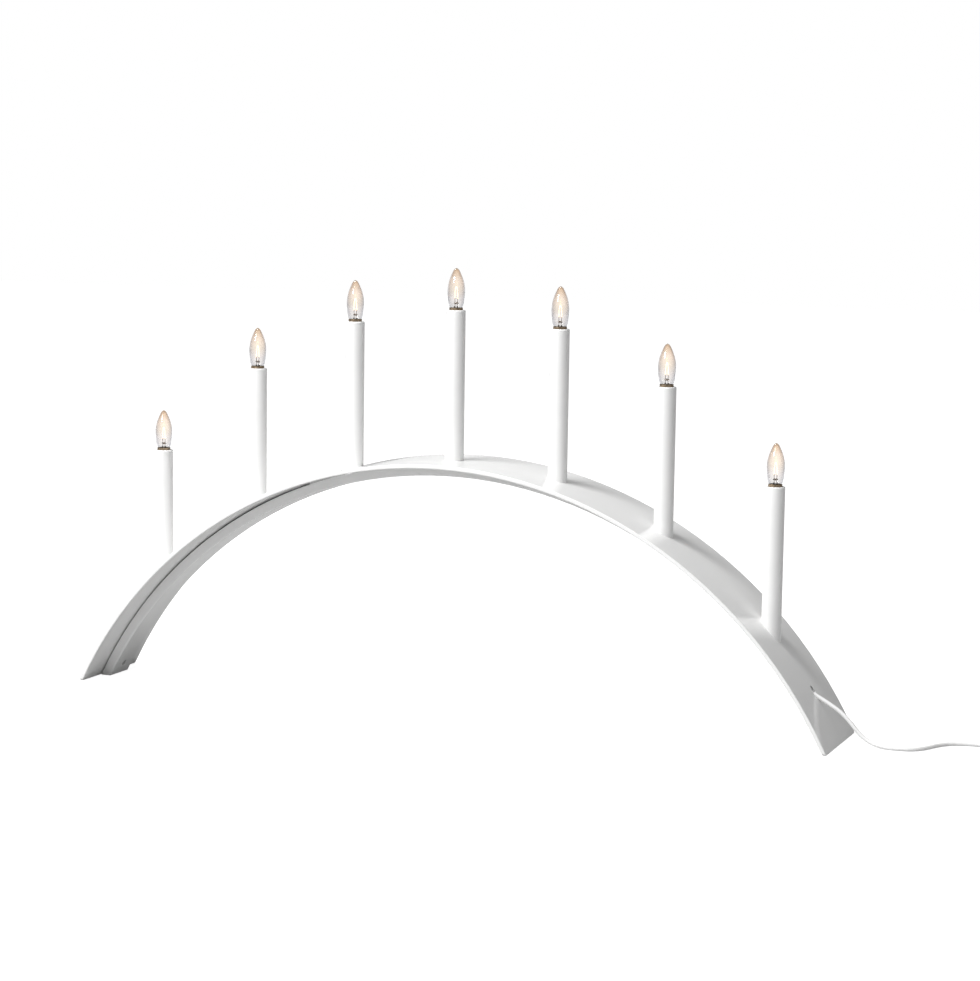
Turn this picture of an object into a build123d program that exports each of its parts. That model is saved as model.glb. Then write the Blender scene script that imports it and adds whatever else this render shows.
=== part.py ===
from build123d import *
import math
import os

# Electric candle arch: a bent, lacquered band stands on its two ends and carries seven candle
# tubes with screw-in bulbs. A shallow channel under the band hides the wiring.
# Millimetres, +X along the arch, +Y to the back, +Z up. The origin is on the table, under the
# middle of the arch.

# Bent band
arch_span = 730.0
arch_rise = 226.5
band_width = 100.0
band_thickness = 3.6
band_edge_round = 0.9
band_corner_round = 2.5

# Channel that covers the wiring
cover_width = 33.5
cover_depth = 8.7
cover_gap = 1.1
cover_wall = 2.4
cover_skin = 2.2
cover_edge_round = 1.2
boss_diameter = 9.0

# Screws of the cover and of the cord clamp: shank, head and head height. The cover's outer screws
# sit at a height near its feet, the inner ones midway between two candles.
cover_screw = (2.9, 5.4, 2.0)
cover_screw_recess = 5.0
cover_screw_height = 10.1
clamp_screw = (2.4, 4.4, 1.5)
screw_bite = 2.8
screw_clearance = 0.1
driver_slot = 0.8

# Candle tubes, spread evenly over the span between two margins. Their heights on the axis count
# from the middle one outwards.
candle_count = 7
candle_margin = 65.0
tube_heights = (135.4, 134.3, 127.5, 125.2)
tube_diameter = 17.3
tube_wall = 1.2
tube_top_round = 1.1
lip_opening = 13.4
lip_thickness = 1.2

# Spigot that holds a tube on the band
spigot_length = 18.0
spigot_stem_diameter = 8.0
spigot_bore = 5.0
fit_clearance = 0.2

# Lampholder inside a tube, with its threaded shell and centre contact
holder_length = 26.0
holder_bore_depth = 16.0
holder_waist_depth = 0.8
holder_waist_length = 4.0
shell_wall = 0.35
shell_length = 11.0
contact_thickness = 0.4
contact_width = 3.0

# Bulb cap: rolled thread, collar, insulator and tip
thread_diameter = 9.5
thread_root_diameter = 8.6
thread_pitch = 1.81
thread_turns = 5
thread_clearance = 0.3
collar_diameter = 12.2
collar_above_tube = 2.2
collar_wall = 0.4
cap_wall = 0.35
insulator_height = 1.7
insulator_low_diameter = 5.2
tip_diameter = 3.8
tip_height = 0.8
seat_clearance = 0.1

# Bulb glass
glass_height = 35.4
glass_diameter = 15.5
glass_foot_diameter = 11.2
glass_wall = 0.6
# Places up the glass as shares of its radius and of its height above the collar
glass_shares = ((0.93, 0.2), (1.0, 0.48), (0.76, 0.73), (0.41, 0.91))

# Lead wires, bead and filament
lead_diameter = 0.5
lead_spread = 2.6
lead_height = 14.5
lead_spacing = 2.4
bead_height = 6.2
bead_size = (4.8, 1.8, 1.6)
filament_diameter = 0.3
filament_rise = 2.2

# Wiring in the channel
wire_diameter = 1.6
wire_in_tube = 1.3
wire_in_channel = 6.2
return_wire_in_channel = 9.8
wire_bend = 1.8
wire_insertion = 4.0
# Places along a link as shares of its way, where it lies at the side of the channel
link_shares = (0.16, 0.5, 0.84)
return_wire_steps = 7

# Mains cord, its hole in the band and its clamp in the channel
cord_diameter = 3.6
cord_exit_height = 40.7
cord_exit_slope = 27.0
cord_hole_diameter = 6.8
cord_hole_clearance = 0.1
cord_inner_lead = 14.5
cord_inner_run = 24.1
clamp_size = (8.0, 21.0, 6.6)
clamp_screw_spacing = 14.0
clamp_clearance = 0.05

# Part of the shorter run beside a corner of a cord or wire that its arc takes up, as a share
cord_arc_share = 0.45

# The cord's free points after its first straight run, as it lies on the table
cord_first_run = 12.0
cord_points = [
    (364.0, 0.0, 28.2),
    (373.0, 0.0, 19.6),
    (380.5, 0.0, 10.6),
    (389.5, -0.6, 4.6),
    (400.5, -2.4, 1.9),
    (414.0, -3.6, 1.9),
    (427.0, -0.6, 1.9),
    (435.8, 9.0, 1.9),
    (441.8, 23.5, 1.9),
    (449.8, 35.0, 1.9),
    (461.8, 41.0, 1.9),
    (476.0, 43.2, 1.9),
    (491.5, 43.0, 2.3),
    (506.5, 42.15, 2.9),
]

# Coil of the cord that is put away: outermost turn, steps between turns and layers
coil_centre = (524.0, 69.6)
coil_outer_radius = 27.45
coil_turn_pitch = 4.85
coil_layer_step = 4.15
coil_half_turns = (5, 5, 5, 4)
tie_thickness = 0.8
tie_width = 4.0
tie_clearance = 0.3
tie_clasp = (6.0, 2.4, 5.0)

# The cord's points from the coil to the plug, between its two straight end runs
tail_end_runs = (12.0, 10.0)
tail_points = [
    (552.5, 40.15, 12.0),
    (561.6, 30.35, 8.4),
]

# Flat two-pin plug, which points to the front
plug_entry = (565.0, 9.15)
sleeve_length = 22.0
sleeve_diameters = (5.4, 8.4)
sleeve_groove_width = 0.7
sleeve_groove_depth = 0.7
sleeve_grooves = 5
plug_length = 35.0
plug_width = 35.3
plug_flat_width = 26.1
plug_back_width = 12.0
plug_thickness = 13.7
plug_edge_round = 1.5
# Places along the plug's body as shares of its length and of its half width
plug_shares = ((0.22, 0.42), (0.62, 1.0))
pin_diameter = 4.0
pin_core_diameter = 3.0
pin_sleeve_diameter = 3.6
pin_sleeve_length = 10.0
pin_length = 19.0
pin_root = 8.0
pin_spacing = 18.6

# Extra reach of every cutting body
overrun = 5.0

# Sizes that follow from those above
candle_pitch = (arch_span - 2 * candle_margin) / (candle_count - 1)
arch_radius = (arch_span ** 2 / 4 + arch_rise ** 2) / (2 * arch_rise)
arch_centre = arch_rise - arch_radius
underside_radius = arch_radius - band_thickness
cover_rim_radius = underside_radius - cover_gap
cover_face_radius = cover_rim_radius - cover_depth
cover_floor_radius = cover_face_radius + cover_skin
channel_radius = (underside_radius + cover_floor_radius) / 2
tube_bore = tube_diameter - 2 * tube_wall
holder_diameter = tube_bore - fit_clearance
shell_bore = thread_diameter + 2 * thread_clearance
shell_diameter = shell_bore + 2 * shell_wall
middle_candle = candle_count // 2
cord_radius = cord_diameter / 2
plug_height = plug_thickness / 2


def candle_x(index):
    """Place of a candle along the arch, counted from the left."""
    return (index - middle_candle) * candle_pitch


def band_top(x):
    """Height of the band's outer face above the table at x."""
    return arch_centre + math.sqrt(arch_radius ** 2 - x ** 2)


def tube_top(index):
    """Height of a candle tube's top."""
    return band_top(candle_x(index)) + tube_heights[abs(index - middle_candle)]


def holder_top(index):
    """Height of a lampholder's top, under the lip of its tube."""
    return tube_top(index) - lip_thickness


def on_arch(angle, radius, y=0.0):
    """Point at an angle from the top of the arch, at a radius from the arch's centre."""
    turn = math.radians(angle)
    return Vector(radius * math.sin(turn), y, arch_centre + radius * math.cos(turn))


def angle_at(x, radius):
    """Angle from the top of the arch to the point at x on a radius."""
    return math.degrees(math.asin(x / radius))


def arch_plane(angle, radius):
    """Plane that touches a radius of the arch, with its normal pointing outwards."""
    turn = math.radians(angle)
    return Plane(
        origin=on_arch(angle, radius),
        x_dir=(math.cos(turn), 0, -math.sin(turn)),
        z_dir=(math.sin(turn), 0, math.cos(turn)),
    )


def arch_sector(outer, inner, foot=0.0):
    """Bent strip between two radii, ending level at a height above the table."""
    with BuildSketch(Plane.XZ) as sector:
        with Locations((0, arch_centre)):
            Circle(outer)
            Circle(inner, mode=Mode.SUBTRACT)
        with Locations((0, foot)):
            Rectangle(2 * outer, arch_rise + overrun, align=(Align.CENTER, Align.MIN), mode=Mode.INTERSECT)
    return sector.sketch


def below_radius(radius):
    """Body of everything inside a radius of the arch, for cutting a foot to the bend."""
    with BuildPart() as below:
        with BuildSketch(Plane.XZ):
            with Locations((0, arch_centre)):
                Circle(radius)
        extrude(amount=band_width, both=True)
    return below.part


def screw_body(plane, depth, length, shank, head, head_height):
    """Pan-head screw whose head seats on a plane and whose shank runs along its normal."""
    with BuildPart() as screw:
        with BuildSketch(plane.offset(depth - head_height)):
            Circle(head / 2)
        extrude(amount=head_height)
        with BuildSketch(plane.offset(depth)):
            Circle(shank / 2)
        extrude(amount=length)
        with BuildSketch(plane.offset(depth - head_height)):
            Rectangle(head / 2, driver_slot)
            Rectangle(driver_slot, head / 2)
        extrude(amount=head_height / 2, mode=Mode.SUBTRACT)
    return screw.part


def tube_along(points, radii, diameter):
    """Round tube along straight runs that tangent arcs join."""
    with BuildPart() as tube:
        with BuildLine() as route:
            FilletPolyline(*points, radius=radii)
        with BuildSketch(Plane(origin=route.line @ 0, z_dir=route.line % 0)):
            Circle(diameter / 2)
        sweep(path=route.line)
    return tube.part


def route_radii(points):
    """Largest even arc for each corner, which takes its share of the shorter run beside it."""
    corners = [Vector(point) for point in points]
    radii = []
    for before, corner, after in zip(corners, corners[1:], corners[2:]):
        turn = (corner - before).get_angle(after - corner)
        shorter = min((corner - before).length, (after - corner).length)
        radii.append(cord_arc_share * shorter / math.tan(math.radians(turn / 2)))
    return radii


def cord_tube(name, points):
    """Free stretch of cord, with its arcs, its volume and its length printed."""
    radii = route_radii(points)
    tube = tube_along(points, radii, cord_diameter)
    with BuildLine() as route:
        FilletPolyline(*points, radius=radii)
    section = math.pi * cord_radius ** 2
    length = route.wire().length
    print(name, "radii", [round(radius, 1) for radius in radii])
    print(name, "length", round(length, 1))
    print(name, "volume over section times length", round(tube.volume / (section * length), 5))
    return tube


def wire_tube(points):
    """Wire with its usual bend at each corner, or less beside a short run."""
    radii = [min(wire_bend, radius) for radius in route_radii(points)]
    return tube_along(points, radii, wire_diameter)


def group(parts):
    """Separate solids kept together as one node."""
    return Compound(children=list(parts))


def save(part, name):
    """Label a finished piece and write it."""
    part.label = name
    export_step(part, f"parts/{name}.step")


os.makedirs("parts", exist_ok=True)

# Bent band, with a bore under each candle, pilot holes for the screws and the cord's slanted hole
candle_spots = [candle_x(index) for index in range(candle_count)]
cord_exit_angle = math.degrees(math.acos((cord_exit_height - arch_centre) / arch_radius))
cord_exit = on_arch(cord_exit_angle, arch_radius)
slope = math.radians(cord_exit_slope)
cord_direction = Vector(math.cos(slope), 0, -math.sin(slope))
cord_turn_in = cord_exit - cord_direction * cord_inner_lead
cord_inner_radius = (cord_turn_in - Vector(0, 0, arch_centre)).length
cord_turn_in_angle = math.degrees(math.atan2(cord_turn_in.X, cord_turn_in.Z - arch_centre))
cord_inner_end_angle = cord_turn_in_angle - math.degrees(cord_inner_run / cord_inner_radius)
cord_inner_end = on_arch(cord_inner_end_angle, cord_inner_radius)
clamp_angle = (cord_inner_end_angle + cord_turn_in_angle) / 2
clamp_plane = arch_plane(clamp_angle, underside_radius)
clamp_screw_spots = [(0, -clamp_screw_spacing / 2), (0, clamp_screw_spacing / 2)]
outer_screw_angle = math.degrees(math.acos((cover_screw_height - arch_centre) / cover_face_radius))
inner_screw_angle = angle_at(candle_x(candle_count - 2) - candle_pitch / 2, underside_radius)
cover_screw_angles = (-outer_screw_angle, -inner_screw_angle, inner_screw_angle, outer_screw_angle)
hole_shift = (cord_hole_diameter - cord_diameter) / 2 - cord_hole_clearance
hole_centre = cord_exit + Vector(-cord_direction.Z, 0, cord_direction.X) * hole_shift

with BuildPart() as arch_band:
    extrude(arch_sector(arch_radius, underside_radius), amount=band_width / 2, both=True)
    feet = arch_band.faces().filter_by(Axis.Z).group_by(Axis.Z)[0]
    fillet(feet.edges().filter_by(Axis.X), band_corner_round)
    bends = arch_band.edges().filter_by(GeomType.CIRCLE)
    fillet(bends.filter_by(lambda edge: edge.radius > band_width), band_edge_round)
    with BuildSketch(Plane.XY):
        with Locations([(x, 0) for x in candle_spots]):
            Circle(spigot_stem_diameter / 2 + fit_clearance / 2)
    extrude(amount=arch_rise + overrun, mode=Mode.SUBTRACT)
    for angle in cover_screw_angles:
        with BuildSketch(arch_plane(angle, underside_radius - overrun)):
            Circle(cover_screw[0] / 2 + screw_clearance / 2)
        extrude(amount=overrun + screw_bite + screw_clearance, mode=Mode.SUBTRACT)
    with BuildSketch(clamp_plane.offset(-overrun)):
        with Locations(clamp_screw_spots):
            Circle(clamp_screw[0] / 2 + screw_clearance / 2)
    extrude(amount=overrun + screw_bite + screw_clearance, mode=Mode.SUBTRACT)
    with BuildSketch(Plane(origin=hole_centre, z_dir=cord_direction)):
        Circle(cord_hole_diameter / 2)
    extrude(amount=cord_inner_lead + overrun, both=True, mode=Mode.SUBTRACT)
save(arch_band.part, "arch_band")

# Wiring cover: a shallow channel with closed ends, held under the band on its screw bosses
with BuildPart() as wiring_cover:
    extrude(arch_sector(cover_rim_radius, cover_face_radius), amount=cover_width / 2, both=True)
    face_edges = wiring_cover.edges().filter_by(GeomType.CIRCLE).group_by(lambda edge: edge.radius)[0]
    fillet(face_edges, cover_edge_round)
    channel = arch_sector(arch_radius, cover_floor_radius, cover_wall)
    extrude(channel, amount=cover_width / 2 - cover_wall, both=True, mode=Mode.SUBTRACT)
    for angle in cover_screw_angles:
        with BuildSketch(arch_plane(angle, cover_floor_radius - cover_skin / 2)):
            Circle(boss_diameter / 2)
        extrude(amount=underside_radius - cover_floor_radius + cover_skin / 2 - clamp_clearance)
        with BuildSketch(arch_plane(angle, cover_face_radius - overrun)):
            Circle(cover_screw[1] / 2 + fit_clearance)
        extrude(amount=overrun + cover_screw_recess, mode=Mode.SUBTRACT)
        with BuildSketch(arch_plane(angle, cover_face_radius)):
            Circle(cover_screw[0] / 2 + screw_clearance)
        extrude(amount=cover_depth + cover_gap + overrun, mode=Mode.SUBTRACT)
save(wiring_cover.part, "wiring_cover")

# Screws of the cover
cover_shank_length = cover_depth + cover_gap - cover_screw_recess + screw_bite
cover_screws = group(
    screw_body(arch_plane(angle, cover_face_radius), cover_screw_recess, cover_shank_length, *cover_screw)
    for angle in cover_screw_angles
)
save(cover_screws, "cover_screws")

# Candle tubes, cut at the foot to the bend of the band
below_band = below_radius(arch_radius)
below_underside = below_radius(underside_radius)
for index in range(candle_count):
    with BuildPart() as candle_tube:
        with BuildSketch(Plane.XY.offset(tube_top(index))):
            with Locations((candle_x(index), 0)):
                Circle(tube_diameter / 2)
        extrude(amount=-tube_top(index))
        fillet(candle_tube.edges().group_by(Axis.Z)[-1], tube_top_round)
        with BuildSketch(Plane.XY.offset(holder_top(index))):
            with Locations((candle_x(index), 0)):
                Circle(tube_bore / 2)
        extrude(amount=-holder_top(index), mode=Mode.SUBTRACT)
        with BuildSketch(Plane.XY.offset(holder_top(index))):
            with Locations((candle_x(index), 0)):
                Circle(lip_opening / 2)
        extrude(amount=lip_thickness + overrun, mode=Mode.SUBTRACT)
        add(below_band, mode=Mode.SUBTRACT)
    save(candle_tube.part, f"candle_tube_{index + 1}")

# Spigots: glued in the band's bores, each with a foot cut to the bend and a hollow stem
for index in range(candle_count):
    spigot_top = band_top(candle_x(index)) + spigot_length
    with BuildPart() as spigot_stem:
        with BuildSketch(Plane.XY.offset(spigot_top)):
            with Locations((candle_x(index), 0)):
                Circle(spigot_stem_diameter / 2)
        extrude(amount=-spigot_top)
        add(below_underside, mode=Mode.SUBTRACT)
    with BuildPart() as tube_spigot:
        with BuildSketch(Plane.XY.offset(spigot_top)):
            with Locations((candle_x(index), 0)):
                Circle(holder_diameter / 2)
        extrude(amount=-spigot_top)
        add(below_band, mode=Mode.SUBTRACT)
        add(spigot_stem.part)
        with BuildSketch(Plane.XY.offset(spigot_top)):
            with Locations((candle_x(index), 0)):
                Circle(spigot_bore / 2)
        extrude(amount=-spigot_top, mode=Mode.SUBTRACT)
    save(tube_spigot.part, f"tube_spigot_{index + 1}")

# Lampholders: plastic cups with a waist and two wire holes in the floor
wire_spots = [(0, -wire_in_tube), (0, wire_in_tube)]
for index in range(candle_count):
    axis_at_top = Plane(origin=(candle_x(index), 0, holder_top(index)))
    with BuildPart() as lampholder:
        with BuildSketch(axis_at_top):
            Circle(holder_diameter / 2)
        extrude(amount=-holder_length)
        with BuildSketch(axis_at_top.offset(-holder_bore_depth / 2)):
            Circle(holder_diameter / 2)
            Circle(holder_diameter / 2 - holder_waist_depth, mode=Mode.SUBTRACT)
        extrude(amount=-holder_waist_length, mode=Mode.SUBTRACT)
        with BuildSketch(axis_at_top):
            Circle(shell_diameter / 2)
        extrude(amount=-holder_bore_depth, mode=Mode.SUBTRACT)
        with BuildSketch(axis_at_top.offset(-holder_length)):
            with Locations(wire_spots):
                Circle(wire_diameter / 2 + screw_clearance / 2)
        extrude(amount=wire_insertion, mode=Mode.SUBTRACT)
    save(lampholder.part, f"lampholder_{index + 1}")


# The bulb's cap hangs from its collar, which seats on the lampholder
collar_height = lip_thickness + collar_above_tube - seat_clearance
glass_insertion = collar_height - collar_wall
thread_length = thread_turns * thread_pitch


def cap_seat(index):
    """Height of the underside of a bulb's collar."""
    return holder_top(index) + seat_clearance


def cap_bottom(index):
    """Height of the tip under a bulb's cap."""
    return cap_seat(index) - thread_pitch / 2 - thread_length - insulator_height - tip_height


def holder_shell(index):
    """Threaded brass shell of a lampholder, shown as a plain sleeve with a rolled foot."""
    foot = Plane(origin=(candle_x(index), 0, holder_top(index) - shell_length))
    with BuildPart() as shell:
        with BuildSketch(foot):
            Circle(shell_diameter / 2)
            Circle(shell_bore / 2, mode=Mode.SUBTRACT)
        extrude(amount=shell_length - seat_clearance)
        with BuildSketch(foot):
            Circle(shell_diameter / 2)
            Circle(thread_root_diameter / 2, mode=Mode.SUBTRACT)
        extrude(amount=-contact_thickness)
    return shell.part


def centre_contact(index):
    """Bent contact strip on the floor of a lampholder, under the tip of the bulb."""
    floor = holder_top(index) - holder_bore_depth
    arm = cap_bottom(index) - seat_clearance
    left = candle_x(index) - thread_root_diameter / 2
    right = candle_x(index) + thread_root_diameter / 2
    free_end = candle_x(index) - contact_width / 2
    with BuildPart() as contact:
        with BuildSketch(Plane.XZ):
            with BuildLine():
                Polyline(
                    (left, floor),
                    (right, floor),
                    (right, arm),
                    (free_end, arm),
                    (free_end, arm - contact_thickness),
                    (right - contact_thickness, arm - contact_thickness),
                    (right - contact_thickness, floor + contact_thickness),
                    (left, floor + contact_thickness),
                    close=True,
                )
            make_face()
        extrude(amount=contact_width / 2, both=True)
    return contact.part


save(group(holder_shell(index) for index in range(candle_count)), "holder_shells")
save(group(centre_contact(index) for index in range(candle_count)), "centre_contacts")


def bulb_cap(index):
    """Brass cap with its rolled thread, and the insulator and tip under it."""
    seat = cap_seat(index)
    neck = seat - thread_pitch / 2
    foot = neck - thread_length
    root = thread_root_diameter / 2
    crest = thread_diameter / 2
    bore = root - cap_wall
    collar = collar_diameter / 2
    with BuildPart() as cap:
        with BuildSketch(Plane.XZ):
            with BuildLine():
                Polyline(
                    (root, neck),
                    (root, seat),
                    (collar, seat),
                    (collar, seat + collar_height),
                    (collar - collar_wall, seat + collar_height),
                    (collar - collar_wall, seat + collar_wall),
                    (bore, seat + collar_wall),
                    (bore, foot),
                    (root, foot),
                )
                for turn in range(thread_turns):
                    low = foot + turn * thread_pitch
                    ThreePointArc((root, low), (crest, low + thread_pitch / 2), (root, low + thread_pitch))
            make_face()
        revolve(axis=Axis.Z)
    with BuildPart() as insulator:
        with BuildSketch(Plane.XY.offset(foot)):
            Circle(root)
        with BuildSketch(Plane.XY.offset(foot - insulator_height)):
            Circle(insulator_low_diameter / 2)
        loft()
    with BuildPart() as tip:
        with BuildSketch(Plane.XY.offset(foot - insulator_height)):
            Circle(tip_diameter / 2)
        extrude(amount=-tip_height)
        fillet(tip.edges().group_by(Axis.Z)[0], tip_height / 2)
    pieces = [piece.part.moved(Location((candle_x(index), 0, 0))) for piece in (cap, insulator, tip)]
    return group(pieces)


def glass_outline(foot, inset):
    """Candle-shaped half outline, drawn in from the outside of the glass by an inset."""
    rim = foot + glass_insertion
    foot_radius = glass_foot_diameter / 2 - inset
    radius = glass_diameter / 2 - inset
    height = glass_height - inset
    with BuildSketch(Plane.XZ) as outline:
        with BuildLine():
            Polyline((0, rim + height), (0, foot + inset), (foot_radius, foot + inset), (foot_radius, rim))
            Spline(
                (foot_radius, rim),
                *[(radius * wide, rim + height * high) for wide, high in glass_shares],
                (0, rim + height),
                tangents=[(foot_radius, glass_foot_diameter), (-radius, radius / 4)],
            )
        make_face()
    return outline.sketch


def bulb_glass(index):
    """Hollow glass candle that stands in the cap's collar."""
    foot = cap_seat(index) + collar_wall
    with BuildPart() as glass:
        revolve(glass_outline(foot, 0), axis=Axis.Z)
        revolve(glass_outline(foot, glass_wall), axis=Axis.Z, mode=Mode.SUBTRACT)
    return glass.part.moved(Location((candle_x(index), 0, 0)))


def bulb_filament(index):
    """Two lead wires through a bead, with the filament strung between their ends."""
    foot = cap_seat(index) + collar_wall + glass_wall
    top = foot + lead_height
    with BuildPart() as mount:
        for side in (-1, 1):
            with BuildLine() as lead:
                Polyline(
                    (side * lead_spacing / 2, 0, foot),
                    (side * lead_spacing / 2, 0, foot + bead_height),
                    (side * lead_spread, 0, top),
                )
            with BuildSketch(Plane.XY.offset(foot)):
                with Locations((side * lead_spacing / 2, 0)):
                    Circle(lead_diameter / 2)
            sweep(path=lead.line, transition=Transition.ROUND)
        with BuildSketch(Plane.XZ):
            with Locations((0, foot + bead_height)):
                SlotOverall(bead_size[0], bead_size[2])
        extrude(amount=bead_size[1] / 2, both=True)
        with BuildLine() as strand:
            ThreePointArc(
                (-lead_spread, 0, top - lead_diameter),
                (0, 0, top + filament_rise),
                (lead_spread, 0, top - lead_diameter),
            )
        with BuildSketch(Plane(origin=strand.line @ 0, z_dir=strand.line % 0)):
            Circle(filament_diameter / 2)
        sweep(path=strand.line)
    return mount.part.moved(Location((candle_x(index), 0, 0)))


for index in range(candle_count):
    save(bulb_cap(index), f"bulb_cap_{index + 1}")
    save(bulb_glass(index), f"bulb_glass_{index + 1}")
    save(bulb_filament(index), f"bulb_filament_{index + 1}")

# Cord inside the channel, from its hole to the clamp
cord_inner_points = [cord_exit, cord_turn_in, cord_inner_end]
cord_inner = tube_along(cord_inner_points, route_radii(cord_inner_points), cord_diameter)
save(cord_inner, "cord_inner")

# Clamp that holds the cord against the band, with its two screws
with BuildPart() as cord_clamp:
    with BuildSketch(clamp_plane.offset(-clamp_clearance)):
        RectangleRounded(clamp_size[0], clamp_size[1], clamp_screw[0] / 2)
    extrude(amount=-clamp_size[2])
    middle_of_cord = (cord_turn_in + cord_inner_end) * 0.5
    with BuildSketch(Plane(origin=middle_of_cord, z_dir=cord_inner_end - cord_turn_in)):
        Circle(cord_radius + clamp_clearance)
    extrude(amount=clamp_size[0], both=True, mode=Mode.SUBTRACT)
    with BuildSketch(clamp_plane.offset(-clamp_size[2] - overrun)):
        with Locations(clamp_screw_spots):
            Circle(clamp_screw[0] / 2 + screw_clearance / 2)
    extrude(amount=clamp_size[2] + 2 * overrun, mode=Mode.SUBTRACT)
    with BuildSketch(clamp_plane.offset(-clamp_size[2] - overrun)):
        with Locations(clamp_screw_spots):
            Circle(clamp_screw[1] / 2 + screw_clearance)
    extrude(amount=overrun + clamp_screw[2] - clamp_clearance, mode=Mode.SUBTRACT)
save(cord_clamp.part, "cord_clamp")

clamp_screws = group(
    screw_body(
        Plane(origin=clamp_plane.from_local_coords(spot), x_dir=clamp_plane.x_dir, z_dir=clamp_plane.z_dir),
        clamp_screw[2] - clamp_size[2] - clamp_clearance,
        clamp_size[2] + clamp_clearance - clamp_screw[2] + screw_bite,
        *clamp_screw,
    )
    for spot in clamp_screw_spots
)
save(clamp_screws, "clamp_screws")


def link_side(index):
    """Side of the tube and of the channel that a link's wire keeps to."""
    return 1 if index % 2 else -1


def wire_end(index, side):
    """Point where a wire ends in the floor of a lampholder."""
    return Vector(candle_x(index), side * wire_in_tube, holder_top(index) - holder_length + wire_insertion)


def wire_foot(index, side):
    """Point where a wire comes down out of a candle into the channel."""
    return on_arch(angle_at(candle_x(index), channel_radius), channel_radius, side * wire_in_tube)


def link_wire(index):
    """Wire from one lampholder through the channel to the next."""
    side = link_side(index)
    here = angle_at(candle_x(index), channel_radius)
    way = angle_at(candle_x(index + 1), channel_radius) - here
    run = [on_arch(here + way * share, channel_radius, side * wire_in_channel) for share in link_shares]
    points = [wire_end(index, side), wire_foot(index, side), *run]
    points += [wire_foot(index + 1, side), wire_end(index + 1, side)]
    return wire_tube(points)


def core_start(side):
    """Points where a core leaves the cut end of the cord, straight on in its direction."""
    start = cord_inner_end + Vector(0, side * cord_radius / 2, 0)
    return [start, start + (cord_inner_end - cord_turn_in).normalized() * cord_diameter]


def feed_wire():
    """Wire from the cord to the last lampholder, on the side that its link leaves free."""
    last = candle_count - 1
    side = -link_side(last - 1)
    points = [*core_start(1), wire_foot(last, side), wire_end(last, side)]
    return wire_tube(points)


def return_wire():
    """Wire from the cord along the whole channel to the first lampholder."""
    side = -link_side(0)
    last_angle = angle_at(candle_x(candle_count - 1), channel_radius)
    way = angle_at(candle_x(0), channel_radius) - last_angle
    shares = [step / return_wire_steps for step in range(return_wire_steps)]
    run = [on_arch(last_angle + way * share, channel_radius, -return_wire_in_channel) for share in shares]
    points = [*core_start(-1), *run, wire_foot(0, side), wire_end(0, side)]
    return wire_tube(points)


links = [link_wire(index) for index in range(candle_count - 1)]
save(group([*links, feed_wire(), return_wire()]), "wiring")

# Coil of cord: half turns that step in and out by half a pitch, and climb where they reverse
coil_plane = Plane(
    origin=(*coil_centre, tie_thickness + tie_clearance + cord_radius),
    x_dir=(0, -1, 0),
    z_dir=(0, 0, 1),
)


def coil_halves():
    """Side, first and last radius, first and last height of each half turn, from the outside in."""
    radius = coil_outer_radius
    height = 0.0
    halves = []
    side = 1
    for layer, count in enumerate(coil_half_turns):
        step = coil_turn_pitch / 2 * (1 if layer % 2 else -1)
        for _ in range(count):
            halves.append((side, radius, radius + step, height, height))
            radius += step
            side = -side
        if layer < len(coil_half_turns) - 1:
            halves.append((side, radius, radius, height, height + coil_layer_step))
            height += coil_layer_step
            side = -side
    return halves


def half_turn_points(side, first_radius, last_radius, low, high):
    """Start, middle and end of a half turn, its middle placed where its two arcs meet smoothly."""
    middle = math.hypot((first_radius + last_radius) / 2, (high - low) / 2)
    start = (side * first_radius, 0, low)
    end = (-side * last_radius, 0, high)
    return start, (side * (first_radius - last_radius) / 2, side * middle, (low + high) / 2), end


def least_gap(line, skip):
    """Least gap of a tube to itself, between points of its line that lie more than skip apart along it."""
    spots = []
    for edge in line.edges():
        count = math.ceil(edge.length / cord_radius)
        spots += [edge @ (step / count) for step in range(count)]
    places = [(spot.X, spot.Y, spot.Z) for spot in spots]
    least = math.inf
    for index, place in enumerate(places):
        for other in places[index + math.ceil(skip / cord_radius):]:
            least = min(least, math.dist(place, other))
    return least - cord_diameter


halves = coil_halves()
coil_end_side, _, coil_end_radius, _, coil_top = halves[-1]
coil_inner_radius = min(half[2] for half in halves)
with BuildPart() as cord_coil:
    with BuildLine() as turns:
        Line((coil_outer_radius, -cord_diameter, 0), (coil_outer_radius, 0, 0))
        for half in halves:
            start, middle, end = half_turn_points(*half)
            quarter = TangentArc(start, middle, tangent=(0, half[0], 0))
            TangentArc(middle, end, tangent=quarter % 1)
        coil_end = Vector(-coil_end_side * coil_end_radius, 0, coil_top)
        Line(coil_end, coil_end - Vector(0, coil_end_side * cord_diameter, 0))
    with BuildSketch(Plane(origin=turns.wire() @ 0, z_dir=turns.wire() % 0)):
        Circle(cord_radius)
    sweep(path=turns.wire())
print("cord_coil length", round(turns.wire().length, 1), "loops", len(halves) / 2)
print("cord_coil least gap to itself", round(least_gap(turns.line, 2 * coil_inner_radius), 3))
save(coil_plane.location * cord_coil.part, "cord_coil")

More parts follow.
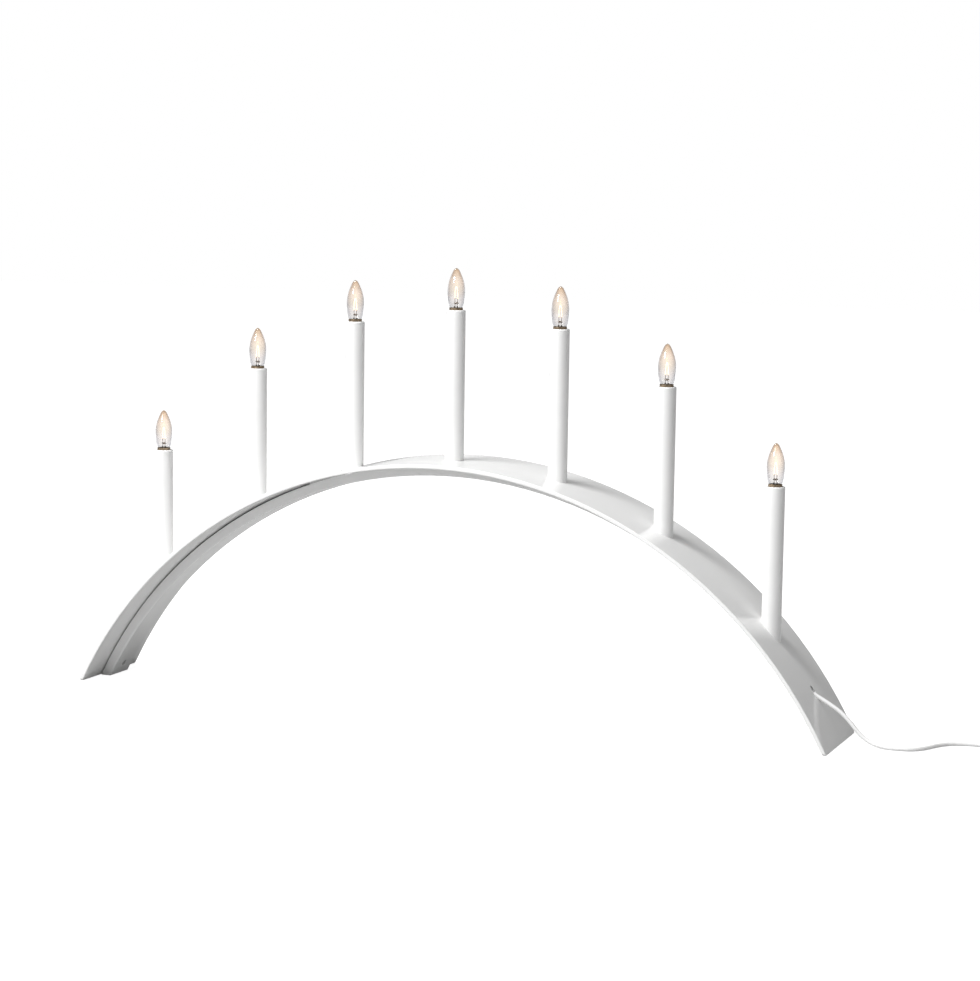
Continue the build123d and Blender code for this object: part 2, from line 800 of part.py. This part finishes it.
# Free stretches of the cord: from the hole to the coil, and from the coil to the plug
first_free_point = cord_exit + cord_direction * cord_first_run
coil_start_point = coil_plane.from_local_coords((coil_outer_radius, -cord_diameter, 0))
coil_way_out = Vector(0, -coil_end_side, 0)
coil_end_point = coil_plane.from_local_coords(coil_end + coil_way_out * cord_diameter)
tail_start = coil_plane.from_local_coords(coil_end + coil_way_out * (cord_diameter + tail_end_runs[0]))
plug_start_point = Vector(*plug_entry, plug_height)
plug_direction = Vector(0, -1, 0)
tail_end = plug_start_point - plug_direction * tail_end_runs[1]
lead_route = [cord_exit, first_free_point, *cord_points, coil_start_point]
tail_route = [coil_end_point, tail_start, *tail_points, tail_end, plug_start_point]
save(cord_tube("cord_lead", lead_route), "cord_lead")
save(cord_tube("cord_tail", tail_route), "cord_tail")

# Tie round the coil, on the side away from the cord's ends, with its clasp
tie_low = coil_inner_radius - cord_radius - tie_clearance
tie_high = coil_outer_radius + cord_radius + tie_clearance
tie_opening = (tie_high - tie_low, coil_top + cord_diameter + 2 * tie_clearance)
tie_middle = (coil_centre[1] + (tie_low + tie_high) / 2, tie_thickness + tie_opening[1] / 2)
tie_plane = Plane(origin=(coil_centre[0], *tie_middle), x_dir=(0, 1, 0), z_dir=(1, 0, 0))
with BuildPart() as cord_tie:
    with BuildSketch(tie_plane.offset(-tie_width / 2)):
        RectangleRounded(*tie_opening, cord_radius)
        offset(amount=tie_thickness, kind=Kind.ARC)
        RectangleRounded(*tie_opening, cord_radius, mode=Mode.SUBTRACT)
    extrude(amount=tie_width)
    with Locations((coil_centre[0], tie_middle[0] + tie_opening[0] / 2 + tie_thickness, tie_middle[1])):
        Box(*tie_clasp, align=(Align.CENTER, Align.MIN, Align.CENTER))
save(cord_tie.part, "cord_tie")

# Flat plug lying on the table, with its ribbed sleeve towards the cord
plug_plane = Plane(origin=plug_start_point, x_dir=(1, 0, 0), z_dir=plug_direction)
plug_back = plug_start_point + plug_direction * sleeve_length
pin_spots = [(-pin_spacing / 2, 0), (pin_spacing / 2, 0)]
groove_pitch = sleeve_length / (sleeve_grooves + 1)
with BuildPart() as plug_body:
    with BuildSketch(plug_plane.offset(sleeve_length)):
        with BuildLine():
            half_flat = plug_flat_width / 2
            Polyline(
                (-plug_width / 2, 0),
                (-half_flat, -plug_height),
                (half_flat, -plug_height),
                (plug_width / 2, 0),
                (half_flat, plug_height),
                (-half_flat, plug_height),
                close=True,
            )
        make_face()
    extrude(amount=plug_length)
    with BuildSketch(Plane(origin=(plug_back.X, plug_back.Y, 0), x_dir=(-1, 0, 0), z_dir=(0, 0, 1))):
        with BuildLine():
            half_back = plug_back_width / 2
            flank = [(plug_width / 2 * wide, plug_length * long) for long, wide in plug_shares]
            corner = (plug_width / 2, plug_length)
            right = [(half_back, 0), *flank, corner]
            Polyline(*right, *[(-x, y) for x, y in reversed(right)], close=True)
        make_face()
    extrude(amount=plug_thickness, mode=Mode.INTERSECT)
    fillet(plug_body.edges().group_by(Axis.Y)[0], plug_edge_round)
    with BuildSketch(plug_plane):
        Circle(sleeve_diameters[0] / 2)
    with BuildSketch(plug_plane.offset(sleeve_length)):
        Circle(sleeve_diameters[1] / 2)
    loft()
    for groove in range(1, sleeve_grooves + 1):
        taper = (sleeve_diameters[1] - sleeve_diameters[0]) / 2 * groove / (sleeve_grooves + 1)
        with BuildSketch(plug_plane.offset(groove * groove_pitch)):
            Circle(sleeve_diameters[1])
            Circle(sleeve_diameters[0] / 2 + taper - sleeve_groove_depth, mode=Mode.SUBTRACT)
        extrude(amount=sleeve_groove_width, mode=Mode.SUBTRACT)
    with BuildSketch(plug_plane.offset(sleeve_length + plug_length)):
        with Locations(pin_spots):
            Circle(pin_sleeve_diameter / 2)
    extrude(amount=pin_sleeve_length)
    with BuildSketch(plug_plane.offset(sleeve_length + plug_length - pin_root)):
        with Locations(pin_spots):
            Circle(pin_core_diameter / 2)
    extrude(amount=pin_root + pin_sleeve_length, mode=Mode.SUBTRACT)
save(plug_body.part, "plug_body")


def plug_pin(spot):
    """Brass pin: a thin core in the plug and its sleeve, and a full-size round end."""
    tip = plug_plane.offset(sleeve_length + plug_length + pin_sleeve_length)
    with BuildPart() as pin:
        with BuildSketch(tip):
            with Locations(spot):
                Circle(pin_core_diameter / 2)
        extrude(amount=-pin_root - pin_sleeve_length)
        with BuildSketch(tip):
            with Locations(spot):
                Circle(pin_diameter / 2)
        extrude(amount=pin_length - pin_sleeve_length)
        fillet(pin.edges().group_by(Axis.Y)[0], pin_diameter / 4)
    return pin.part


save(group(plug_pin(spot) for spot in pin_spots), "plug_pins")
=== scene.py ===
import math

import bpy
from mathutils import Matrix, Vector


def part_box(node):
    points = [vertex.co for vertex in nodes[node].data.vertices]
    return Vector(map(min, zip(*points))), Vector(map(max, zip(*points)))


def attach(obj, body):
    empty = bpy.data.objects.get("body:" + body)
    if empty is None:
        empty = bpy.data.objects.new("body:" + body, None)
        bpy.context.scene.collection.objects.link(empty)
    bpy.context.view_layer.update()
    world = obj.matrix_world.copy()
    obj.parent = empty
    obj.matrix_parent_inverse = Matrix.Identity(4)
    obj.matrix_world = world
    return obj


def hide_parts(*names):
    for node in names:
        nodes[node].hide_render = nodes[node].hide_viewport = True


# Electric candle arch on a table, in metres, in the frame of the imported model
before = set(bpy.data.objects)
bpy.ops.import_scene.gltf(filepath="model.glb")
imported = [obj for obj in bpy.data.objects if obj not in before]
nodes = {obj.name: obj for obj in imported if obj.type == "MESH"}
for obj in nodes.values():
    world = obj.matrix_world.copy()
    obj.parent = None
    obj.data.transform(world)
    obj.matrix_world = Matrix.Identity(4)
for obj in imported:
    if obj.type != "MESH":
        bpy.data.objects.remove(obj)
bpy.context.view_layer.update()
candle_count = sum(name.startswith("candle_tube_") for name in nodes)
candle_numbers = range(1, candle_count + 1)


def new_object(name, data):
    """A new object in the scene."""
    made = bpy.data.objects.new(name, data)
    bpy.context.scene.collection.objects.link(made)
    return made


# Camera at the photograph's angle, fitted to the edges of the arch and the axes of the candles
photo_side_pixels = 981
focal_pixels = 2453.1
sensor_millimetres = 36.0
camera_place = (0.86266, -2.03103, 0.46930)
camera_yaw = -0.3868
camera_pitch = -0.1219
camera_roll = 0.0143

camera_data = bpy.data.cameras.new("photo_camera")
camera_data.sensor_width = sensor_millimetres
camera_data.lens = focal_pixels * sensor_millimetres / photo_side_pixels
camera = new_object("photo_camera", camera_data)
camera.matrix_world = (
    Matrix.Translation(camera_place)
    @ Matrix.Rotation(-camera_yaw, 4, "Z")
    @ Matrix.Rotation(math.pi / 2 + camera_pitch, 4, "X")
    @ Matrix.Rotation(camera_roll, 4, "Z")
)
bpy.context.scene.camera = camera
bpy.context.scene.view_settings.view_transform = "Standard"

# Levels of the noise at which a piece has its first and its second colour
cloud_edges = (0.3, 0.7)


class Finish:
    """A procedural material: a Principled shader and the nodes that lead to it."""

    def __init__(self, name, **constants):
        self.material = bpy.data.materials.new(name)
        self.material.use_nodes = True
        self.tree = self.material.node_tree
        self.shader = self.tree.nodes["Principled BSDF"]
        self.places = self.tree.nodes.new("ShaderNodeTexCoord")
        self.normal = None
        for socket, value in constants.items():
            self.shader.inputs[socket.replace("_", " ")].default_value = value

    def noise(self, waves, detail=2.0):
        """Noise in the piece's own space, with its waves to a metre."""
        texture = self.tree.nodes.new("ShaderNodeTexNoise")
        texture.inputs["Scale"].default_value = waves
        texture.inputs["Detail"].default_value = detail
        self.tree.links.new(self.places.outputs["Object"], texture.inputs["Vector"])
        return texture.outputs["Fac"]

    def height(self):
        """Height on the piece, from 0 at its foot to 1 at its top."""
        parts = self.tree.nodes.new("ShaderNodeSeparateXYZ")
        self.tree.links.new(self.places.outputs["Generated"], parts.inputs["Vector"])
        return parts.outputs["Z"]

    def ramp(self, factor, stops):
        """A colour that follows a factor through its stops."""
        ramp = self.tree.nodes.new("ShaderNodeValToRGB")
        while len(ramp.color_ramp.elements) < len(stops):
            ramp.color_ramp.elements.new(1.0)
        for element, (place, colour) in zip(ramp.color_ramp.elements, stops):
            element.position = place
            element.color = (*colour, 1)
        self.tree.links.new(factor, ramp.inputs["Fac"])
        return ramp.outputs["Color"]

    def clouds(self, first, second, **pattern):
        """Base colour that wanders between two colours."""
        colour = self.ramp(self.noise(**pattern), tuple(zip(cloud_edges, (first, second))))
        self.tree.links.new(colour, self.shader.inputs["Base Color"])

    def wander(self, socket, low, high, **pattern):
        """A number of the shader that wanders between two values."""
        ranged = self.tree.nodes.new("ShaderNodeMapRange")
        ranged.inputs["To Min"].default_value = low
        ranged.inputs["To Max"].default_value = high
        self.tree.links.new(self.noise(**pattern), ranged.inputs["Value"])
        self.tree.links.new(ranged.outputs["Result"], self.shader.inputs[socket])

    def relief(self, depth, **pattern):
        """Bumps of a real depth in metres, on top of any bumps that are there."""
        bump = self.tree.nodes.new("ShaderNodeBump")
        bump.inputs["Distance"].default_value = depth
        self.tree.links.new(self.noise(**pattern), bump.inputs["Height"])
        if self.normal:
            self.tree.links.new(self.normal, bump.inputs["Normal"])
        self.normal = bump.outputs["Normal"]
        self.tree.links.new(self.normal, self.shader.inputs["Normal"])


def darker(colour, share):
    """A colour brought down to a share of itself."""
    return tuple(share * part for part in colour)


def lacquer(name, colour, roughness):
    """White gloss lacquer: a sprayed skin with a faint orange peel and slightly uneven gloss."""
    finish = Finish(name, IOR=1.5, Coat_Weight=0.25, Coat_IOR=1.5, Coat_Roughness=0.03)
    finish.clouds(darker(colour, 0.98), colour, waves=9.0, detail=3.0)
    finish.wander("Roughness", roughness - 0.03, roughness + 0.04, waves=60.0, detail=4.0)
    finish.relief(depth=0.00002, waves=420.0, detail=1.0)
    finish.relief(depth=0.000004, waves=2600.0)
    return finish.material


def moulded(name, colour, roughness, grain_depth=0.00001, grain_waves=3000.0):
    """Moulded plastic with a fine even grain and slow changes of gloss."""
    finish = Finish(name, IOR=1.47)
    finish.clouds(darker(colour, 0.975), colour, waves=25.0)
    finish.wander("Roughness", roughness - 0.04, roughness + 0.05, waves=90.0, detail=3.0)
    finish.relief(depth=grain_depth, waves=grain_waves)
    return finish.material


def metal(name, tarnished, clean, roughness):
    """Bare metal with a tarnish that wanders, uneven gloss and a fine grain."""
    finish = Finish(name, Metallic=1.0)
    finish.clouds(tarnished, clean, waves=350.0, detail=4.0)
    finish.wander("Roughness", roughness - 0.08, roughness + 0.12, waves=900.0, detail=3.0)
    finish.relief(depth=0.000006, waves=4000.0)
    return finish.material


def glowing(name, glow_colour, strength):
    """Hot wire whose brightness wanders a little."""
    finish = Finish(name, Roughness=0.5, Emission_Color=(*glow_colour, 1))
    finish.clouds((0.5, 0.3, 0.12), (0.8, 0.5, 0.2), waves=500.0)
    finish.wander("Emission Strength", 0.8 * strength, 1.2 * strength, waves=700.0, detail=1.0)
    return finish.material


def clear_glass(name, painted_warm_glow, painted_rim_shade, rim_darkening_blend):
    """Blown glass with the slow waves of its wall, with a painted warm glow that follows its height in its
    middle and painted shade at its rim.
    """
    finish = Finish(name, Transmission_Weight=1.0, IOR=1.5, Roughness=0.0)
    height = finish.height()
    # Facing turns the colour to the darker rim tints, which are painted shade where the glass turns away
    facing = finish.tree.nodes.new("ShaderNodeLayerWeight")
    facing.inputs["Blend"].default_value = rim_darkening_blend
    tints = finish.tree.nodes.new("ShaderNodeMix")
    tints.data_type = "RGBA"
    finish.tree.links.new(facing.outputs["Facing"], tints.inputs["Factor"])
    finish.tree.links.new(finish.ramp(height, painted_warm_glow), tints.inputs["A"])
    finish.tree.links.new(finish.ramp(height, painted_rim_shade), tints.inputs["B"])
    finish.tree.links.new(tints.outputs["Result"], finish.shader.inputs["Base Color"])
    finish.relief(depth=0.00006, waves=160.0, detail=1.0)
    return finish.material


# Painted light on the bulb glass, from its foot at 0 to its tip at 1: the painted warm glow that a lit
# bulb gives the middle of its glass, and painted shade at its darker rim
bulb_warm_glow_painted = (
    (0.0, (0.86, 0.86, 0.86)),
    (0.3, (0.93, 0.90, 0.88)),
    (0.5, (0.97, 0.91, 0.84)),
    (0.75, (1.0, 0.92, 0.84)),
    (1.0, (0.88, 0.74, 0.60)),
)
bulb_rim_shade_painted = (
    (0.0, (0.48, 0.49, 0.53)),
    (0.5, (0.44, 0.44, 0.48)),
    (0.7, (0.48, 0.40, 0.37)),
    (1.0, (0.24, 0.15, 0.10)),
)
# Blend of the facing that sets how far the painted rim shade reaches
bulb_rim_shade_blend = 0.55

# Materials, each with the middle value of its roughness
white_band = lacquer("white_band", (0.86, 0.86, 0.855), roughness=0.13)
white_channel = lacquer("white_channel", (0.83, 0.83, 0.825), roughness=0.22)
candle_plastic = moulded("candle_plastic", (0.88, 0.88, 0.875), roughness=0.36)
fitting_plastic = moulded("fitting_plastic", (0.8, 0.8, 0.77), roughness=0.5)
cord_plastic = moulded("cord_plastic", (0.87, 0.87, 0.865), roughness=0.42, grain_waves=1800.0)
wire_plastic = moulded("wire_plastic", (0.78, 0.78, 0.76), roughness=0.45)
tie_plastic = moulded("tie_plastic", (0.82, 0.82, 0.8), roughness=0.5)
plug_plastic = moulded(
    "plug_plastic", (0.85, 0.85, 0.83), roughness=0.5, grain_depth=0.00004, grain_waves=2200.0
)
contact_brass = metal("contact_brass", (0.62, 0.46, 0.2), (0.8, 0.64, 0.34), roughness=0.3)
cap_brass = metal("cap_brass", (0.22, 0.165, 0.11), (0.52, 0.40, 0.28), roughness=0.34)
screw_steel = metal("screw_steel", (0.5, 0.5, 0.5), (0.68, 0.68, 0.69), roughness=0.3)
# Near-black steel for the cover screws, which is painted shade of their dark recessed holes
screw_painted_shade = metal("screw_painted_shade", (0.008, 0.008, 0.009), (0.03, 0.03, 0.032), roughness=0.5)
pin_nickel = metal("pin_nickel", (0.66, 0.62, 0.52), (0.8, 0.78, 0.7), roughness=0.2)
lead_steel = metal("lead_steel", (0.06, 0.045, 0.035), (0.18, 0.14, 0.11), roughness=0.4)
# Bulb glass with a painted warm glow and painted shade at its rim
bulb_glass = clear_glass("bulb_glass", bulb_warm_glow_painted, bulb_rim_shade_painted, bulb_rim_shade_blend)
bead_glass = moulded("bead_glass", (0.22, 0.18, 0.15), roughness=0.25)
hot_wire = glowing("hot_wire", (1.0, 0.66, 0.34), strength=5.0)

material_of = {
    "arch_band": white_band,
    "wiring_cover": white_channel,
    "candle_tube": candle_plastic,
    "tube_spigot": fitting_plastic,
    "lampholder": fitting_plastic,
    "cord_clamp": fitting_plastic,
    "holder_shells": contact_brass,
    "centre_contacts": contact_brass,
    "bulb_cap": cap_brass,
    "bulb_glass": bulb_glass,
    # Cover screws near black, which is painted shade of their recess
    "cover_screws": screw_painted_shade,
    "clamp_screws": screw_steel,
    "wiring": wire_plastic,
    "cord_inner": cord_plastic,
    "cord_tie": tie_plastic,
    "plug_body": plug_plastic,
    "plug_pins": pin_nickel,
}
for name, node in nodes.items():
    kind = name.rstrip("0123456789").rstrip("_")
    if kind in material_of:
        node.data.materials.clear()
        node.data.materials.append(material_of[kind])

# Mains cord: the route of its tube, repeated from the source of the part
cord_diameter = 0.0036
cord_exit = (0.34183, 0.0, 0.0407)
lead_points = [
    cord_exit,
    (0.35252, 0.0, 0.03525),
    (0.3640, 0.0, 0.0282),
    (0.3730, 0.0, 0.0196),
    (0.3805, 0.0, 0.0106),
    (0.3895, -0.0006, 0.0046),
    (0.4005, -0.0024, 0.0019),
    (0.4140, -0.0036, 0.0019),
    (0.4270, -0.0006, 0.0019),
    (0.4358, 0.0090, 0.0019),
    (0.4418, 0.0235, 0.0019),
    (0.4498, 0.0350, 0.0019),
    (0.4618, 0.0410, 0.0019),
    (0.4760, 0.0432, 0.0019),
    (0.4915, 0.0430, 0.0023),
    (0.5065, 0.04215, 0.0029),
]
tail_points = [
    (0.5396, 0.044575, 0.01535),
    (0.5525, 0.04015, 0.0120),
    (0.5616, 0.03035, 0.0084),
    (0.5650, 0.01915, 0.00685),
    (0.5650, 0.00915, 0.00685),
]

# Coil of the cord that is put away, as the source winds it
coil_centre = Vector((0.524, 0.0696, 0.0029))
coil_outer_radius = 0.02745
coil_turn_pitch = 0.00485
coil_layer_step = 0.00415
coil_half_turns = (5, 5, 5, 4)
points_per_half_turn = 8

# Roundness of tubes, as Blender's bevel resolution, and their steps from one control point to the next
cord_roundness = 6
lead_roundness = 2
filament_roundness = 1
tube_steps = 6


def coil_steps():
    """Radius and height at the start and end of each half turn, layer by layer from the outside in."""
    radius = coil_outer_radius
    height = 0.0
    steps = []
    for layer, count in enumerate(coil_half_turns):
        step = coil_turn_pitch / 2 * (1 if layer % 2 else -1)
        for _ in range(count):
            steps.append((radius, radius + step, height, height))
            radius += step
        if layer < len(coil_half_turns) - 1:
            steps.append((radius, radius, height, height + coil_layer_step))
            height += coil_layer_step
    return steps


def coil_points():
    """Control points of the coil, pushed out so that the spline keeps the coil's radius."""
    push = 4 / (3 + math.cos(math.pi / points_per_half_turn))
    points = []
    for half_turn, (first, last, low, high) in enumerate(coil_steps()):
        for index in range(points_per_half_turn):
            share = (index + 0.5) / points_per_half_turn
            angle = math.pi * (half_turn + share)
            radius = (first + (last - first) * share) * push
            height = low + (high - low) * share
            spoke = Vector((radius * math.sin(angle), -radius * math.cos(angle), height))
            points.append(coil_centre + spoke)
    return points


def tube_curve(name, points, diameter, material, roundness):
    """Round tube on one smooth open spline."""
    curve = bpy.data.curves.new(name, "CURVE")
    curve.dimensions = "3D"
    curve.bevel_depth = diameter / 2
    curve.bevel_resolution = roundness
    curve.use_fill_caps = True
    curve.resolution_u = tube_steps
    spline = curve.splines.new("NURBS")
    spline.points.add(len(points) - 1)
    for target, point in zip(spline.points, points):
        target.co = (*point, 1)
    spline.order_u = 3
    spline.use_endpoint_u = True
    curve.materials.append(material)
    return new_object(name, curve)


cord_points = lead_points + coil_points() + tail_points
mains_cord = tube_curve("mains_cord", cord_points, cord_diameter, cord_plastic, cord_roundness)
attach(mains_cord, "root")
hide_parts("cord_lead", "cord_coil", "cord_tail")

# Inside of each bulb: two leads on welded feet, a bead that holds them apart, and a coiled filament
lead_diameter = 0.0005
lead_gap = 0.0024
lead_spread = 0.0026
lead_height = 0.0104
hook_reach = 0.000375
foot_diameter = 0.0015
foot_length = 0.0036
bead_height = 0.0062
bead_radii = (0.0024, 0.0010, 0.0009)
bead_segments = 24
bead_rings = 12
filament_diameter = 0.00016
filament_rise = 0.0105
filament_turns = 44
filament_turn_radius = 0.00032
points_per_filament_turn = 6


def lead(base, side):
    """Lead wire from its foot, past the bead, to the hook that takes the filament."""
    foot = base + Vector((side * lead_gap / 2, 0, 0))
    knee = foot + Vector((0, 0, bead_height))
    tip = base + Vector((side * lead_spread / 2, 0, lead_height))
    hook = tip + Vector((-side * hook_reach, 0, lead_diameter))
    points = [foot, (foot + knee) / 2, knee, (knee + tip) / 2, tip, hook]
    return tube_curve("lead", points, lead_diameter, lead_steel, lead_roundness)


def welded_foot(base, side):
    """Thick foot of a lead wire, which leans a little outward."""
    foot = base + Vector((side * lead_gap / 2, 0, 0))
    middle = foot + Vector((0, 0, foot_length / 2))
    top = foot + Vector((side * lead_diameter / 2, 0, foot_length))
    return tube_curve("welded_foot", [foot, middle, top], foot_diameter, lead_steel, lead_roundness)


def filament(base):
    """Coiled filament, wound round an arc between the tips of the leads."""
    start = base + Vector((0, 0, lead_height))
    steps = filament_turns * points_per_filament_turn
    points = []
    for step in range(steps + 1):
        along = math.pi * step / steps
        turn = 2 * math.pi * filament_turns * step / steps
        middle = Vector((-lead_spread / 2 * math.cos(along), 0, filament_rise * math.sin(along)))
        outward = Vector((-math.cos(along), 0, math.sin(along)))
        wound = outward * math.cos(turn) + Vector((0, 1, 0)) * math.sin(turn)
        points.append(start + middle + wound * filament_turn_radius)
    return tube_curve("filament", points, filament_diameter, hot_wire, filament_roundness)


def joined(name, curves):
    """One mesh from several tube curves."""
    depsgraph = bpy.context.evaluated_depsgraph_get()
    bpy.ops.object.select_all(action="DESELECT")
    meshes = []
    for curve in curves:
        mesh = bpy.data.meshes.new_from_object(curve.evaluated_get(depsgraph), depsgraph=depsgraph)
        made = new_object(curve.name + "_mesh", mesh)
        made.select_set(True)
        meshes.append(made)
        bpy.data.objects.remove(curve)
    bpy.context.view_layer.objects.active = meshes[0]
    bpy.ops.object.join()
    meshes[0].name = name
    return meshes[0]


def bead(name, centre):
    """Rounded glass bead across both leads."""
    bpy.ops.mesh.primitive_uv_sphere_add(segments=bead_segments, ring_count=bead_rings, location=(0, 0, 0))
    made = bpy.context.active_object
    made.name = name
    made.data.transform(Matrix.Diagonal((*bead_radii, 1)))
    made.data.transform(Matrix.Translation(centre))
    made.data.materials.append(bead_glass)
    made.data.shade_smooth()
    return made


for number in candle_numbers:
    low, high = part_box(f"bulb_filament_{number}")
    base = Vector(((low.x + high.x) / 2, 0, low.z))
    wires = [part(base, side) for side in (-1, 1) for part in (lead, welded_foot)]
    inside = joined(f"bulb_inside_{number}", [*wires, filament(base)])
    ball = bead(f"bulb_bead_{number}", base + Vector((0, 0, bead_height)))
    for piece in (inside, ball):
        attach(piece, f"bulb_{number}")
    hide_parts(f"bulb_filament_{number}")

# Levels of light: 1 is white, the ambient level lights the object, and only its gloss mirrors the room
white_level = 1.0
ambient_level = 0.38
room_left_level = 0.75
room_right_level = 0.29

# Sideways share of a direction, from -1 at the left, where the room starts and ends turning grey
room_turn = (-0.45, -0.12)

# Floor of pale paper, with a glow that makes it white where it is seen
floor_side = 16.0
floor_colour = (0.5, 0.5, 0.5, 1)
floor_roughness = 0.9
floor_glow = 0.9
floor_seen_colour = (0.4, 0.4, 0.4, 1)


def seen_directly(tree):
    """One where the camera, or a ray through glass, meets the surface, and zero elsewhere."""
    path = tree.nodes.new("ShaderNodeLightPath")
    either = tree.nodes.new("ShaderNodeMath")
    either.operation = "MAXIMUM"
    tree.links.new(path.outputs["Is Camera Ray"], either.inputs[0])
    tree.links.new(path.outputs["Is Transmission Ray"], either.inputs[1])
    return either.outputs["Value"]


def mixed(tree, factor, first, second):
    """Shader that turns from the first to the second with a factor."""
    mix = tree.nodes.new("ShaderNodeMixShader")
    tree.links.new(factor, mix.inputs["Fac"])
    tree.links.new(first, mix.inputs[1])
    tree.links.new(second, mix.inputs[2])
    return mix.outputs["Shader"]


def background(tree, level):
    """Colourless background of a level."""
    made = tree.nodes.new("ShaderNodeBackground")
    made.inputs["Color"].default_value = (1, 1, 1, 1)
    made.inputs["Strength"].default_value = level
    return made.outputs["Background"]


def mirrored_room(tree):
    """Room that is lighter at the left and greyer at the right."""
    place = tree.nodes.new("ShaderNodeTexCoord")
    direction = tree.nodes.new("ShaderNodeSeparateXYZ")
    tree.links.new(place.outputs["Generated"], direction.inputs["Vector"])
    to_right = tree.nodes.new("ShaderNodeMapRange")
    to_right.interpolation_type = "SMOOTHSTEP"
    to_right.inputs["From Min"].default_value = room_turn[0]
    to_right.inputs["From Max"].default_value = room_turn[1]
    tree.links.new(direction.outputs["X"], to_right.inputs["Value"])
    left = background(tree, room_left_level)
    right = background(tree, room_right_level)
    return mixed(tree, to_right.outputs["Result"], left, right)


def studio():
    """World that is white where it is seen, a room where it is mirrored, and even light elsewhere."""
    world = bpy.data.worlds.new("studio")
    world.use_nodes = True
    tree = world.node_tree
    mirrored = tree.nodes.new("ShaderNodeLightPath").outputs["Is Glossy Ray"]
    unseen = mixed(tree, mirrored, background(tree, ambient_level), mirrored_room(tree))
    whole = mixed(tree, seen_directly(tree), unseen, background(tree, white_level))
    tree.links.new(whole, tree.nodes["World Output"].inputs["Surface"])
    return world


def floor_paper():
    """Paper that is white with its shadows where it is seen, and plain grey to all other rays."""
    made = bpy.data.materials.new("floor")
    made.use_nodes = True
    tree = made.node_tree
    plain = tree.nodes["Principled BSDF"]
    plain.inputs["Base Color"].default_value = floor_colour
    plain.inputs["Roughness"].default_value = floor_roughness
    glow = tree.nodes.new("ShaderNodeEmission")
    glow.inputs["Strength"].default_value = floor_glow
    lit = tree.nodes.new("ShaderNodeBsdfDiffuse")
    lit.inputs["Color"].default_value = floor_seen_colour
    white = tree.nodes.new("ShaderNodeAddShader")
    tree.links.new(glow.outputs["Emission"], white.inputs[0])
    tree.links.new(lit.outputs["BSDF"], white.inputs[1])
    whole = mixed(tree, seen_directly(tree), plain.outputs["BSDF"], white.outputs["Shader"])
    tree.links.new(whole, tree.nodes["Material Output"].inputs["Surface"])
    return made


def floor_sheet():
    """Square floor round the origin."""
    half = floor_side / 2
    corners = [(-half, -half, 0), (half, -half, 0), (half, half, 0), (-half, half, 0)]
    mesh = bpy.data.meshes.new("floor")
    mesh.from_pydata(corners, [], [(0, 1, 2, 3)])
    mesh.materials.append(floor_paper())
    return new_object("floor", mesh)


def softbox(name, place, target, side, power):
    """Square area lamp that looks at a target."""
    lamp = bpy.data.lights.new(name, "AREA")
    lamp.shape = "SQUARE"
    lamp.size = side
    lamp.energy = power
    made = new_object(name, lamp)
    made.location = place
    made.rotation_euler = (Vector(target) - Vector(place)).to_track_quat("-Z", "Y").to_euler()


bpy.context.scene.world = studio()
floor = floor_sheet()

# A fill from the front left, and the key high at the left, which casts the shadows beside the candles
arch_middle = (0, 0, 0.2)
softbox("front", place=(-0.9, -2.4, 1.9), target=arch_middle, side=0.8, power=56)
softbox("key", place=(-0.75, -0.75, 2.5), target=arch_middle, side=0.6, power=48)
